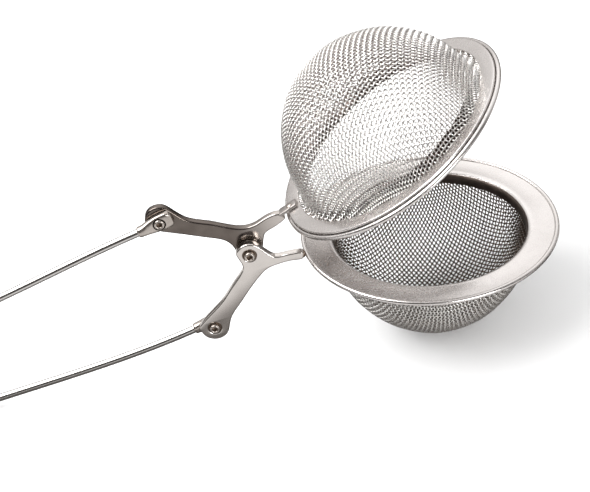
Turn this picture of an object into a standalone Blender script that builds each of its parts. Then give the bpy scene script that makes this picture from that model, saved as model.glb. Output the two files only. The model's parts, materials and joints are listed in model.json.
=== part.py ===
"""Squeeze-handle tea infuser: two mesh bowls on a pair of levers, opened by a sprung wire handle.

Frames used below, all in metres:
- world: +Z up, the infuser lying with its lower bowl and its handle's end on z = 0, bowls at +X;
- tool: origin on the main rivet's axis, +X along the mid-plane between the jaws, +Y away from the
  side where the lower lever lies, +Z towards the upper bowl;
- jaw: the tool frame turned about the rivet until its X lies along one jaw. Z points out of the
  jaw's own back, so both jaws are built by the same functions.
"""
import bmesh
import bpy
from math import asin, atan2, cos, pi, radians, sin
from mathutils import Matrix, Vector
from mathutils.geometry import interpolate_bezier

MM = 0.001
GAP = 0.3 * MM

# Pose
HALF_OPENING = radians(16.8)
HANDLE_DROP = radians(9.9)

# Rims and bowls, in the jaw frame
RIM_CENTRE_X = 44.75 * MM
RIM_CENTRE_Y = 5.5 * MM
RIM_RADIUS = 32.0 * MM
BEAD_RADIUS = 0.85 * MM
BEAD_CENTRE_Z = 1.4 * MM
SHEET = 0.35 * MM
FACE_Z = 1.2 * MM
SANDWICH_GAP = 0.12 * MM
MESH_SHELL = 0.4 * MM
COLLAR_FILLET = 1.2 * MM
COLLAR_DEPTH = 2.6 * MM
BOWL_FILLET = 1.9 * MM
UPPER_BOWL_RADIUS = 25.3 * MM
LOWER_BOWL_RADIUS = 24.6 * MM
BOWL_DEPTH = 26.0 * MM
BOWL_CENTRE_Z = 2.0 * MM
COLLAR_GAP = 0.35 * MM
BACK_RING_INSET = 0.1 * MM
BEAD_POINTS = 11
DOME_POINTS = 10
TURN_STEPS = 48

# Levers, in the tool frame
LEVER_SHEET = 2.0 * MM
LEVER_GAP = 0.8 * MM
LEVER_ARM = 23.6 * MM
LOWER_ARM_ANGLE = radians(46.3)
UPPER_ARM_ANGLE = radians(44.6)
HEAD_RADIUS = 3.3 * MM
EYE_RADIUS = 3.6 * MM
FOOT_LENGTH = 4.2 * MM
FOOT_WIDTH = 3.0 * MM
FOOT_SHEET = 0.9 * MM

# Rivets
MAIN_SHANK = 1.4 * MM
HANDLE_SHANK = 1.2 * MM
RIVET_HEAD_RADIUS = 1.8 * MM
RIVET_HEAD = 0.5 * MM
RIVET_BORE = 0.95 * MM
RIVET_HOLLOW = 1.6 * MM
RIVET_LIP = 0.3 * MM
RIVET_BEARING = 0.1 * MM
RIVET_CLEARANCE = 0.08 * MM
OPEN_LOOP_CLEARANCE = 0.55 * MM
WASHER_RADIUS = 2.9 * MM
SPOT_RADIUS = 0.9 * MM
SPOT_HEIGHT = 0.45 * MM
RIVET_STEPS = 20

# Ferrules and handle wire
FERRULE_FRONT = 3.3 * MM
FERRULE_BACK = 5.7 * MM
FERRULE_HEIGHT = 3.9 * MM
FERRULE_THICKNESS = 2.7 * MM
FERRULE_TAPER = 0.8 * MM
FERRULE_EDGE = 0.55 * MM
FERRULE_GAP = 0.1 * MM
WIRE_RADIUS = 1.0 * MM
WIRE_CLEARANCE = 0.08 * MM
WIRE_SEAT = 2.6 * MM
WIRE_Y = 0.4 * MM
BEND_X = -88.0 * MM
BEND_Z = -4.1 * MM
BEND_RADIUS = 13.4 * MM
UPPER_LEG_SLOPE = radians(4.5)
LOWER_LEG_SLOPE = radians(-6.0)

LOWER = -1
UPPER = 1


# ---------------------------------------------------------------- scene helpers

def clear_scene():
    for item in list(bpy.data.objects):
        bpy.data.objects.remove(item, do_unlink=True)


def new_collection(name):
    collection = bpy.data.collections.new(name)
    bpy.context.scene.collection.children.link(collection)
    return collection


def steel(name, colour, roughness):
    material = bpy.data.materials.new(name)
    material.use_nodes = True
    shader = material.node_tree.nodes["Principled BSDF"]
    shader.inputs["Base Color"].default_value = (*colour, 1.0)
    shader.inputs["Metallic"].default_value = 1.0
    shader.inputs["Roughness"].default_value = roughness
    return material


def add_object(name, mesh, collection, parent, material):
    item = bpy.data.objects.new(name, mesh)
    collection.objects.link(item)
    item.parent = parent
    if material:
        mesh.materials.clear()
        mesh.materials.append(material)
    return item


def take_primitive(name, collection, parent):
    """Name the primitive just added and move it to its own collection."""
    item = bpy.context.object
    item.name = name
    for holder in list(item.users_collection):
        holder.objects.unlink(item)
    collection.objects.link(item)
    item.parent = parent
    return item


def empty(name, parent, collection, turn_y):
    item = bpy.data.objects.new(name, None)
    collection.objects.link(item)
    item.parent = parent
    item.rotation_euler = (0, turn_y, 0)
    return item


def turned(name, profile, closed, steps, collection, parent, material):
    """Screw a profile of (radius, height) pairs, outer side downwards, about local Z."""
    mesh = bpy.data.meshes.new(name)
    points = [(radius, 0, height) for radius, height in profile]
    edges = [(i, i + 1) for i in range(len(points) - 1)]
    if closed:
        edges.append((len(points) - 1, 0))
    mesh.from_pydata(points, edges, [])
    item = add_object(name, mesh, collection, parent, material)
    screw = item.modifiers.new("turn", "SCREW")
    screw.axis = "Z"
    screw.steps = steps
    screw.render_steps = steps
    screw.use_merge_vertices = True
    screw.merge_threshold = 0.00001
    screw.use_smooth_shade = True
    return item


def frozen(item):
    """The object's evaluated shape as a plain mesh object, with loose caps welded."""
    bpy.context.view_layer.update()
    graph = bpy.context.evaluated_depsgraph_get()
    mesh = bpy.data.meshes.new_from_object(item.evaluated_get(graph))
    shape = bmesh.new()
    shape.from_mesh(mesh)
    bmesh.ops.remove_doubles(shape, verts=shape.verts, dist=0.00001)
    bmesh.ops.recalc_face_normals(shape, faces=shape.faces)
    shape.to_mesh(mesh)
    shape.free()
    name, parent, placing = item.name, item.parent, item.matrix_local.copy()
    collection = item.users_collection[0]
    bpy.data.objects.remove(item, do_unlink=True)
    mesh.name = name
    result = add_object(name, mesh, collection, parent, None)
    result.name = name
    result.matrix_local = placing
    mesh.shade_smooth()
    mesh.set_sharp_from_angle(angle=radians(35))
    return result


def boolean(item, cutter, operation):
    change = item.modifiers.new(cutter.name, "BOOLEAN")
    change.operation = operation
    change.solver = "EXACT"
    change.object = cutter
    cutter.hide_render = True
    cutter.display_type = "WIRE"


def peg(name, radius, length, location, parent, cutters):
    """A cutter along local Y, for a rivet's hole."""
    bpy.ops.mesh.primitive_cylinder_add(vertices=RIVET_STEPS, radius=radius, depth=length)
    item = take_primitive(name, cutters, parent)
    item.location = location
    item.rotation_euler = (pi / 2, 0, 0)
    return item


def arc(centre, radius, start, end, count):
    step = (end - start) / (count - 1)
    turns = [start + step * i for i in range(count)]
    return [(centre[0] + radius * cos(turn), centre[1] + radius * sin(turn)) for turn in turns]


# ---------------------------------------------------------------- places worked out from the sizes

def jaw_to_tool(side, x, z):
    """A point of one jaw's frame, given in the tool frame."""
    return (x * cos(HALF_OPENING) - z * sin(HALF_OPENING),
            side * (x * sin(HALF_OPENING) + z * cos(HALF_OPENING)))


def handle_rivet_place(side):
    angle = UPPER_ARM_ANGLE if side == UPPER else LOWER_ARM_ANGLE
    return (-LEVER_ARM * cos(angle), side * LEVER_ARM * sin(angle))


def lever_span(side):
    """Front and back of a lever's sheet along Y."""
    if side == LOWER:
        return (-LEVER_SHEET, 0.0)
    return (LEVER_GAP, LEVER_GAP + LEVER_SHEET)


def ferrule_span(side):
    """Front and back of a ferrule at its wire end: before the upper lever, behind the lower one."""
    if side == LOWER:
        return (FERRULE_GAP, FERRULE_GAP + FERRULE_THICKNESS)
    return (LEVER_GAP - FERRULE_GAP - FERRULE_THICKNESS, LEVER_GAP - FERRULE_GAP)


# ---------------------------------------------------------------- rims and bowls

def rim_face(name, side, bowl_radius, collection, parent, material):
    """The mating ring: a rolled bead, a flat face and a short collar that turns into the bowl."""
    bead = (RIM_RADIUS - BEAD_RADIUS, BEAD_CENTRE_Z)
    back_z = FACE_Z + SHEET
    collar_outer = bowl_radius - MESH_SHELL / 2 - COLLAR_GAP
    collar_inner = collar_outer - SHEET
    bend = (collar_outer + COLLAR_FILLET, back_z + COLLAR_FILLET)
    meet_back = asin((back_z - BEAD_CENTRE_Z) / BEAD_RADIUS)
    meet_front = asin((FACE_Z - BEAD_CENTRE_Z) / BEAD_RADIUS)
    profile = arc(bead, BEAD_RADIUS, pi - meet_back, -pi - meet_front, BEAD_POINTS)
    inside = arc(bend, COLLAR_FILLET + SHEET, -pi / 2, -pi, 5)
    outside = arc(bend, COLLAR_FILLET, -pi, -pi / 2, 5)
    profile += inside + [(collar_inner, back_z + COLLAR_DEPTH), (collar_outer, back_z + COLLAR_DEPTH)]
    profile += outside
    return place_on_jaw(turned(name, profile, True, TURN_STEPS, collection, parent, material), side)


def rim_back(name, side, bowl_radius, collection, parent, material):
    """The flat ring that clamps the mesh's brim against the mating ring."""
    low = FACE_Z + SHEET + MESH_SHELL + 2 * SANDWICH_GAP
    inner = bowl_radius + BOWL_FILLET + MESH_SHELL / 2
    outer = RIM_RADIUS - 2 * BEAD_RADIUS + BACK_RING_INSET
    profile = [(inner, low + SHEET), (outer, low + SHEET), (outer, low), (inner, low)]
    return place_on_jaw(turned(name, profile, True, TURN_STEPS, collection, parent, material), side)


def bowl(name, side, bowl_radius, collection, parent, material):
    """The woven bowl as a thin shell: brim, flare and a slightly deep hemisphere."""
    brim_z = FACE_Z + SHEET + SANDWICH_GAP + MESH_SHELL / 2
    bend = (bowl_radius + BOWL_FILLET, brim_z + BOWL_FILLET)
    brim_radius = RIM_RADIUS - 2 * BEAD_RADIUS - GAP
    profile = [(brim_radius, brim_z)] + arc(bend, BOWL_FILLET, -pi / 2, -pi, 4)
    first = asin((brim_z + BOWL_FILLET - BOWL_CENTRE_Z) / BOWL_DEPTH)
    for i in range(1, DOME_POINTS + 1):
        rise = first + (pi / 2 - first) * i / DOME_POINTS
        profile.append((bowl_radius * cos(rise), BOWL_CENTRE_Z + BOWL_DEPTH * sin(rise)))
    profile[-1] = (0.0, profile[-1][1])
    item = turned(name, profile[::-1], False, TURN_STEPS, collection, parent, material)
    shell = item.modifiers.new("shell", "SOLIDIFY")
    shell.thickness = MESH_SHELL
    shell.offset = 0.0
    return place_on_jaw(item, side)


def place_on_jaw(item, side):
    """Stand a turned piece on its jaw's axis, backwards for the lower jaw."""
    item.location = (RIM_CENTRE_X, RIM_CENTRE_Y, 0)
    item.rotation_euler = (0 if side == UPPER else pi, 0, 0)
    return item


# ---------------------------------------------------------------- levers

def smooth_closed(knots, per_knot=4):
    """A closed outline through the knots, rounded by a Catmull-Rom curve."""
    points = []
    count = len(knots)
    for i in range(count):
        before, start, end, after = (Vector(knots[(i + k) % count]) for k in (-1, 0, 1, 2))
        first = start + (end - before) / 6
        second = end - (after - start) / 6
        points += interpolate_bezier(start, first, second, end, per_knot + 1)[:-1]
    return [(point.x, point.y) for point in points]


def lever_knots(side):
    """Outline of a lever in the tool frame: eye at the handle rivet, head over the main rivet,
    and the slim jaw arm that reaches the rim."""
    eye = handle_rivet_place(side)
    outward = atan2(side * eye[1], eye[0])
    round_eye = arc((eye[0], side * eye[1]), EYE_RADIUS, outward - radians(95), outward + radians(80), 6)
    head = arc((0, 0), HEAD_RADIUS, radians(205), radians(330), 5)
    if side == LOWER:
        tip_x = RIM_CENTRE_X - RIM_RADIUS + 0.15 * MM
        low, high = jaw_to_tool(UPPER, tip_x, 0.35 * MM), jaw_to_tool(UPPER, tip_x, 2.35 * MM)
        inner = [(-11.9, 10.6), (-7.7, 7.2), (-4.1, 4.3), (-2.8, 2.4)]
        after_head = [(4.9, 1.9), (6.3, 2.9), (9.2, 3.3)]
        outer = [(8.4, 5.4), (5.4, 5.2), (2.2, 5.6), (-2.0, 8.2), (-6.9, 12.1), (-11.0, 15.5)]
    else:
        low, high = jaw_to_tool(UPPER, 12.4 * MM, 2.75 * MM), jaw_to_tool(UPPER, 13.4 * MM, 4.4 * MM)
        inner = [(-12.4, 9.8), (-8.8, 7.5), (-5.0, 5.0), (-3.5, 2.5)]
        after_head = [(4.7, 1.9), (6.3, 3.4), (9.0, 4.3)]
        outer = [(8.9, 7.3), (5.9, 6.8), (2.6, 6.2), (-1.2, 7.4), (-5.6, 10.4), (-10.8, 13.9)]
    inner = [(x * MM, z * MM) for x, z in inner]
    after_head = [(x * MM, z * MM) for x, z in after_head]
    outer = [(x * MM, z * MM) for x, z in outer]
    return [(x, side * z) for x, z in round_eye + inner + head + after_head + [low, high] + outer]


def lever(name, side, collection, cutters, parent, material):
    """A flat pressed lever. The upper one ends in a foot folded over the rim's back."""
    front, back = lever_span(side)
    outline = bpy.data.curves.new(name, "CURVE")
    outline.dimensions = "2D"
    outline.fill_mode = "BOTH"
    outline.extrude = (back - front) / 2
    spline = outline.splines.new("POLY")
    points = smooth_closed(lever_knots(side))
    spline.points.add(len(points) - 1)
    for target, (x, z) in zip(spline.points, points):
        target.co = (x, z, 0, 1)
    spline.use_cyclic_u = True
    item = bpy.data.objects.new(name, outline)
    collection.objects.link(item)
    item.parent = parent
    item.location = (0, (front + back) / 2, 0)
    item.rotation_euler = (pi / 2, 0, 0)
    item = frozen(item)
    item.data.materials.append(material)
    if side == UPPER:
        boolean(item, foot_block(cutters, parent), "UNION")
    eye = handle_rivet_place(side)
    middle = (front + back) / 2
    for label, place, radius in (("head", (0, 0), MAIN_SHANK), ("eye", eye, HANDLE_SHANK)):
        hole = peg(f"{name}_{label}_hole", radius + RIVET_CLEARANCE, 3 * LEVER_SHEET,
                   (place[0], middle, place[1]), parent, cutters)
        boolean(item, hole, "DIFFERENCE")
    return item


def foot_place():
    """Middle of the upper lever's foot, in the upper jaw's frame."""
    front, back = lever_span(UPPER)
    back_of_rim = FACE_Z + 2 * SHEET + MESH_SHELL + 2 * SANDWICH_GAP
    return Vector((12.9 * MM + FOOT_LENGTH / 2, (front + back) / 2, back_of_rim + GAP + FOOT_SHEET / 2))


def foot_block(cutters, parent):
    bpy.ops.mesh.primitive_cube_add(size=1)
    block = take_primitive("upper_lever_foot", cutters, parent)
    block.data.transform(Matrix.Diagonal((FOOT_LENGTH, FOOT_WIDTH, FOOT_SHEET, 1)))
    place = foot_place()
    x, z = jaw_to_tool(UPPER, place.x, place.z)
    block.location = (x, place.y, z)
    block.rotation_euler = (0, -HALF_OPENING, 0)
    return block


# ---------------------------------------------------------------- rivets

def rivet(name, place, front, back, shank, collection, parent, material):
    """A hollow-fronted rivet along Y, its heads bearing on whatever lies from front to back."""
    under = -front + RIVET_BEARING
    over = -back - RIVET_BEARING
    face = under + RIVET_HEAD
    tail = over - RIVET_HEAD
    hollow = face - RIVET_HOLLOW
    rounded = RIVET_HEAD_RADIUS - RIVET_LIP
    profile = [
        (0.0, hollow), (RIVET_BORE, hollow), (RIVET_BORE, face - RIVET_LIP),
        (RIVET_BORE + RIVET_LIP, face), (rounded, face), (RIVET_HEAD_RADIUS, face - RIVET_LIP),
        (RIVET_HEAD_RADIUS, under), (shank, under), (shank, over), (RIVET_HEAD_RADIUS, over),
        (RIVET_HEAD_RADIUS, tail + RIVET_LIP), (rounded, tail), (0.0, tail)]
    item = turned(name, profile, False, RIVET_STEPS, collection, parent, material)
    item.location = (place[0], 0, place[1])
    item.rotation_euler = (pi / 2, 0, 0)
    return item


def foot_rivet(name, collection, parent, material):
    """The small domed spot that holds the foot to the rim."""
    place = foot_place()
    turns = (pi / 3, pi / 6, 0)
    dome = [(0.0, SPOT_HEIGHT)]
    dome += [(SPOT_RADIUS * cos(turn), SPOT_HEIGHT * sin(turn)) for turn in turns]
    item = turned(name, dome + [(0.0, 0.0)], False, RIVET_STEPS, collection, parent, material)
    item.location = place + Vector((0, 0, FOOT_SHEET / 2 + RIVET_BEARING))
    return item


def washer(name, collection, parent, material):
    """The thin spacer between the two levers on the main rivet."""
    inner = MAIN_SHANK + RIVET_CLEARANCE
    near, far = -RIVET_BEARING, -LEVER_GAP + RIVET_BEARING
    profile = [(inner, near), (WASHER_RADIUS, near), (WASHER_RADIUS, far), (inner, far)]
    item = turned(name, profile, True, RIVET_STEPS, collection, parent, material)
    item.rotation_euler = (pi / 2, 0, 0)
    return item


# ---------------------------------------------------------------- ferrules and handle wire

def leg_direction(side):
    """Unit vector from a handle rivet towards the wire, in the tool frame."""
    if side == UPPER:
        return Vector((-cos(UPPER_LEG_SLOPE), 0, -sin(UPPER_LEG_SLOPE)))
    return Vector((-cos(LOWER_LEG_SLOPE), 0, sin(LOWER_LEG_SLOPE)))


def ferrule(name, side, collection, cutters, parent, material):
    """A flattened tube end: rivet hole at its free end, blind bore for the wire at the other."""
    front, back = ferrule_span(side)
    along = leg_direction(side)
    place = handle_rivet_place(side)
    rivet_spot = Vector((place[0], (front + back) / 2, place[1]))
    turn = atan2(along.z, -along.x)
    bpy.ops.mesh.primitive_cube_add(size=1)
    item = take_primitive(name, collection, parent)
    length = FERRULE_FRONT + FERRULE_BACK
    item.data.transform(Matrix.Diagonal((length, FERRULE_THICKNESS, FERRULE_HEIGHT, 1)))
    item.data.transform(Matrix.Translation(((FERRULE_FRONT - FERRULE_BACK) / 2, 0, 0)))
    for vert in item.data.vertices:
        if vert.co.x > 0 and vert.co.y * side < 0:
            vert.co.y += side * FERRULE_TAPER
    item.data.materials.append(material)
    item.location = rivet_spot
    item.rotation_euler = (0, turn, 0)
    edge = item.modifiers.new("edges", "BEVEL")
    edge.width = FERRULE_EDGE
    edge.segments = 2
    clearance = OPEN_LOOP_CLEARANCE if side == UPPER else RIVET_CLEARANCE
    hole = peg(f"{name}_rivet_hole", HANDLE_SHANK + clearance, 3 * FERRULE_THICKNESS,
               rivet_spot, parent, cutters)
    boolean(item, hole, "DIFFERENCE")
    bore_length = 2 * (FERRULE_BACK - WIRE_SEAT)
    bore = peg(f"{name}_bore", WIRE_RADIUS + WIRE_CLEARANCE, bore_length,
               rivet_spot + along * FERRULE_BACK, parent, cutters)
    bore.rotation_mode = "QUATERNION"
    bore.rotation_quaternion = along.to_track_quat("Z", "Y")
    boolean(item, bore, "DIFFERENCE")
    return item


def leg_points(side):
    """Centre line of one half of the handle wire, from its ferrule to the bend's middle."""
    front, back = ferrule_span(side)
    place = handle_rivet_place(side)
    along = leg_direction(side)
    start = Vector((place[0], (front + back) / 2, place[1])) + along * (WIRE_SEAT + GAP)
    mouth = start + along * (FERRULE_BACK - WIRE_SEAT)
    bend_start = Vector((BEND_X, WIRE_Y, BEND_Z + side * BEND_RADIUS))
    reach = (bend_start - mouth).length / 3
    straight = interpolate_bezier(mouth, mouth + along * reach,
                                  bend_start + Vector((reach, 0, 0)), bend_start, 14)
    half_gap = GAP / 2 / BEND_RADIUS
    turns = arc((BEND_X, BEND_Z), BEND_RADIUS, side * pi / 2, side * (pi - half_gap), 12)
    return [start] + list(straight) + [Vector((x, WIRE_Y, z)) for x, z in turns[1:]]


def handle_leg(name, side, collection, parent, material):
    wire = bpy.data.curves.new(name, "CURVE")
    wire.dimensions = "3D"
    wire.bevel_depth = WIRE_RADIUS
    wire.bevel_resolution = 3
    wire.use_fill_caps = True
    spline = wire.splines.new("POLY")
    points = leg_points(side)
    spline.points.add(len(points) - 1)
    for target, place in zip(spline.points, points):
        target.co = (*place, 1)
    item = bpy.data.objects.new(name, wire)
    collection.objects.link(item)
    item.parent = parent
    item = frozen(item)
    item.data.materials.append(material)
    return item


# ---------------------------------------------------------------- the whole infuser

def set_down(tool):
    """Move the whole infuser so that its box stands on z = 0 with its middle over the origin."""
    bpy.context.view_layer.update()
    graph = bpy.context.evaluated_depsgraph_get()
    corners = []
    for item in tool.children_recursive:
        if item.type == "MESH" and not item.hide_render:
            shape = item.evaluated_get(graph)
            mesh = shape.to_mesh()
            corners += [shape.matrix_world @ vert.co for vert in mesh.vertices]
            shape.to_mesh_clear()
    low = Vector([min(corner[axis] for corner in corners) for axis in range(3)])
    high = Vector([max(corner[axis] for corner in corners) for axis in range(3)])
    tool.location -= Vector(((low.x + high.x) / 2, (low.y + high.y) / 2, low.z))


def build():
    clear_scene()
    parts = new_collection("tea_infuser")
    cutters = new_collection("cutters")
    tool = empty("tool", None, parts, turn_y=-HANDLE_DROP)
    jaws = {UPPER: empty("upper_jaw", tool, parts, turn_y=-HALF_OPENING),
            LOWER: empty("lower_jaw", tool, parts, turn_y=HALF_OPENING)}
    woven = steel("woven_steel", (0.72, 0.71, 0.69), 0.35)
    polished = steel("polished_steel", (0.83, 0.81, 0.79), 0.22)
    pressed = steel("pressed_steel", (0.66, 0.63, 0.60), 0.32)
    spring = steel("spring_steel", (0.70, 0.69, 0.67), 0.2)
    for side, label, radius in ((LOWER, "lower", LOWER_BOWL_RADIUS), (UPPER, "upper", UPPER_BOWL_RADIUS)):
        jaw = jaws[side]
        bowl(f"{label}_bowl", side, radius, parts, jaw, woven)
        rim_face(f"{label}_rim_face", side, radius, parts, jaw, polished)
        rim_back(f"{label}_rim_back", side, radius, parts, jaw, polished)
        lever(f"{label}_lever", side, parts, cutters, tool, pressed)
        ferrule(f"{label}_ferrule", side, parts, cutters, tool, pressed)
        handle_leg(f"handle_wire_{label}_leg", side, parts, tool, spring)
    slant = FERRULE_TAPER / (FERRULE_BACK + FERRULE_FRONT)
    under_head = slant * (FERRULE_BACK - RIVET_HEAD_RADIUS)
    rivet("main_rivet", (0, 0), lever_span(LOWER)[0], lever_span(UPPER)[1],
          MAIN_SHANK, parts, tool, pressed)
    rivet("lower_handle_rivet", handle_rivet_place(LOWER), lever_span(LOWER)[0],
          ferrule_span(LOWER)[1] - under_head, HANDLE_SHANK, parts, tool, pressed)
    rivet("upper_handle_rivet", handle_rivet_place(UPPER), ferrule_span(UPPER)[0] + under_head,
          lever_span(UPPER)[1], HANDLE_SHANK, parts, tool, pressed)
    foot_rivet("foot_rivet", parts, jaws[UPPER], pressed)
    washer("pivot_washer", parts, tool, pressed)
    set_down(tool)


build()
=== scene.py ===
"""Visual model of the squeeze-handle tea infuser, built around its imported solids.

Frames, in metres: the world frame is the CAD's. The tool frame has its origin on the main rivet's
axis, +X along the mid-plane between the jaws and +Z towards the upper bowl. A jaw frame stands at
one rim's centre with +Z out of that jaw's back, so both jaws use the same functions.
"""
import json
from math import atan2, asin, cos, hypot, pi, radians, sin

import bpy
import bmesh
import numpy as np
from mathutils import Matrix, Vector
from mathutils.geometry import interpolate_bezier


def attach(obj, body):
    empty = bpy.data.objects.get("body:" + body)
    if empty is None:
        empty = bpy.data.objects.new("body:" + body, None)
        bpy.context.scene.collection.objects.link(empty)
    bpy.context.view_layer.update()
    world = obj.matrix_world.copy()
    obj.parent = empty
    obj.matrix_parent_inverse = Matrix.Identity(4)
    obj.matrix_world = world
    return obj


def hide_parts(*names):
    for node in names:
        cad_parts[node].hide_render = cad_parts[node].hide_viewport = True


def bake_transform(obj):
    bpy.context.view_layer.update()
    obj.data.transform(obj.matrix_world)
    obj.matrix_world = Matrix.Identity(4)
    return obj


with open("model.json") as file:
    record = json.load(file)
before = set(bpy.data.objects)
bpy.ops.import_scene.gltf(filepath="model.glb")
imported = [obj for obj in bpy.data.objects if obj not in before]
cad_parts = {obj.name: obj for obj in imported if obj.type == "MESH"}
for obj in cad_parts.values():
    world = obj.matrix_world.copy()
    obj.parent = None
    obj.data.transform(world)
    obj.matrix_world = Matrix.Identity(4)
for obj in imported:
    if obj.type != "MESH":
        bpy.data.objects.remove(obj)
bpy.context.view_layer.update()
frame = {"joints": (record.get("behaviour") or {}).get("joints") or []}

MM = 0.001
LOWER, UPPER = -1, 1
PIVOTS = {joint["name"]: Vector(joint["pos_m"]) for joint in frame["joints"]}
HALF_OPENING = radians(16.8)
HANDLE_DROP = radians(9.9)
TOOL = Matrix.Translation(PIVOTS["jaw_pivot"]) @ Matrix.Rotation(-HANDLE_DROP, 4, "Y")
RNG = np.random.default_rng(7)

RIM_CENTRE_X = 44.75 * MM
RIM_CENTRE_Y = 5.5 * MM
RIM_RADIUS = 32.0 * MM
BEAD_RADIUS = 0.64 * MM
BEAD_CENTRE_Z = 1.4 * MM
SHEET = 0.35 * MM
FACE_Z = 1.2 * MM
FACE_DISH = 0.12 * MM
RIM_STEPS = 240
COLLAR_FILLET = 1.2 * MM
COLLAR_DEPTH = 2.4 * MM
BOWL_RADIUS = {LOWER: 24.6 * MM, UPPER: 25.3 * MM}
BOWL_DEPTH = 26.0 * MM
BOWL_CENTRE_Z = 2.0 * MM
BOWL_FILLET = 1.9 * MM

PITCH = 0.965 * MM
WIRE = 0.18 * MM
WIRE_SIDES = 6
WOBBLE = 0.012 * MM
DENT = 0.16 * MM
HAIR = 0.01 * MM
BRIM_Z = FACE_Z + SHEET + 2 * WIRE + HAIR
BACK_Z = BRIM_Z + 2 * WIRE + HAIR
WEAVE_TURN = {LOWER: radians(45), UPPER: radians(37.5)}

LEVER_SHEET = 2.0 * MM
LEVER_GAP = 0.8 * MM
LEVER_EDGE = 0.4 * MM
LEVER_ARM = 23.6 * MM
ARM_ANGLE = {LOWER: radians(46.3), UPPER: radians(44.6)}
HEAD_RADIUS = 3.3 * MM
EYE_RADIUS = 3.6 * MM
MAIN_SHANK = 1.4 * MM
HANDLE_SHANK = 1.2 * MM
RECESS = 1.62 * MM
RIVET_HEAD = 1.8 * MM
FOOT_EDGE = 0.3 * MM

FERRULE_BACK = 5.7 * MM
FERRULE_THICKNESS = 2.7 * MM
FERRULE_GAP = 0.1 * MM
WIRE_SEAT = 2.6 * MM
HANDLE_WIRE = 1.0 * MM
WIRE_Y = 0.4 * MM
BEND = Vector((-88.0 * MM, WIRE_Y, -4.1 * MM))
BEND_RADIUS = 13.4 * MM
LEG_SLOPE = {LOWER: radians(-6.0), UPPER: radians(4.5)}


# ---------------------------------------------------------------- materials

def node(tree, kind, **settings):
    item = tree.nodes.new(kind)
    for key, value in settings.items():
        if key in item.inputs:
            item.inputs[key].default_value = value
        else:
            setattr(item, key, value)
    return item


def noise(tree, vector, **settings):
    item = node(tree, "ShaderNodeTexNoise", **settings)
    tree.links.new(vector, item.inputs["Vector"])
    return item.outputs["Fac"]


def remap(tree, value, source, target=(0.0, 1.0), **settings):
    item = node(tree, "ShaderNodeMapRange", **settings)
    item.inputs["From Min"].default_value, item.inputs["From Max"].default_value = source
    item.inputs["To Min"].default_value, item.inputs["To Max"].default_value = target
    tree.links.new(value, item.inputs["Value"])
    return item.outputs["Result"]


def mix(tree, share, one, two):
    """Blend from colour one to colour two. Each is a socket or three plain numbers."""
    item = node(tree, "ShaderNodeMix", data_type="RGBA")
    tree.links.new(share, item.inputs["Factor"])
    for name, colour in (("A", one), ("B", two)):
        if isinstance(colour, tuple):
            item.inputs[name].default_value = (*colour, 1)
        else:
            tree.links.new(colour, item.inputs[name])
    return item.outputs["Result"]


def steel(name, light, dark, roughness, scratches, grain=(1, 1, 1), speckle=900.0, bump=0.000004,
          fade=None, inner_shade=None, cloud_size=180.0):
    """Steel with cloudy tone, fine scratches along one direction and small pits. fade is (far,
    start, end): the tone of the piece beyond end on its own X, reached from start. inner_shade is
    painted shade: a dark brownish tone on the sides of the wires that face into a bowl."""
    material = bpy.data.materials.new(name)
    material.use_nodes = True
    tree = material.node_tree
    shader = tree.nodes["Principled BSDF"]
    shader.inputs["Metallic"].default_value = 1.0
    place = node(tree, "ShaderNodeAttribute", attribute_name="own").outputs["Vector"]
    stretch = node(tree, "ShaderNodeMapping", Scale=grain)
    tree.links.new(place, stretch.inputs["Vector"])
    cloud = noise(tree, place, Scale=cloud_size, Detail=2.0, Roughness=0.45)
    lines = noise(tree, stretch.outputs["Vector"], Scale=scratches, Detail=3.0, Roughness=0.7)
    pits = noise(tree, place, Scale=speckle, Detail=2.0, Roughness=0.5)

    colour = mix(tree, remap(tree, cloud, (0.25, 0.75)), dark, light)
    if fade:
        far, start, end = fade
        split = node(tree, "ShaderNodeSeparateXYZ")
        tree.links.new(place, split.inputs["Vector"])
        share = remap(tree, split.outputs["X"], (start, end), interpolation_type="SMOOTHSTEP")
        colour = mix(tree, share, colour, far)
    # Painted shade: the sides of the wires that face into the bowl are darkened, patchy with the
    # cloud.
    if inner_shade:
        inward = node(tree, "ShaderNodeAttribute", attribute_name="inward")
        patchy = node(tree, "ShaderNodeMath", operation="MULTIPLY_ADD")
        patchy.inputs[1].default_value = 0.5
        tree.links.new(cloud, patchy.inputs[0])
        tree.links.new(inward.outputs["Fac"], patchy.inputs[2])
        share = remap(tree, patchy.outputs["Value"], (0.55, 1.0), interpolation_type="SMOOTHSTEP")
        colour = mix(tree, share, colour, inner_shade)
    tree.links.new(colour, shader.inputs["Base Color"])
    tree.links.new(remap(tree, lines, (0.3, 0.7), roughness), shader.inputs["Roughness"])

    relief = node(tree, "ShaderNodeMath", operation="ADD")
    tree.links.new(lines, relief.inputs[0])
    tree.links.new(pits, relief.inputs[1])
    raised = node(tree, "ShaderNodeBump", Strength=0.35, Distance=bump)
    tree.links.new(relief.outputs["Value"], raised.inputs["Height"])
    tree.links.new(raised.outputs["Normal"], shader.inputs["Normal"])
    return material


def plain(name, colour, roughness):
    material = bpy.data.materials.new(name)
    material.use_nodes = True
    shader = material.node_tree.nodes["Principled BSDF"]
    shader.inputs["Base Color"].default_value = (*colour, 1)
    shader.inputs["Roughness"].default_value = roughness
    return material


# The inner_shade tones are painted shade on the wires' inward sides: brown-grey in the upper bowl,
# near-black in the lower one.
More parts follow.
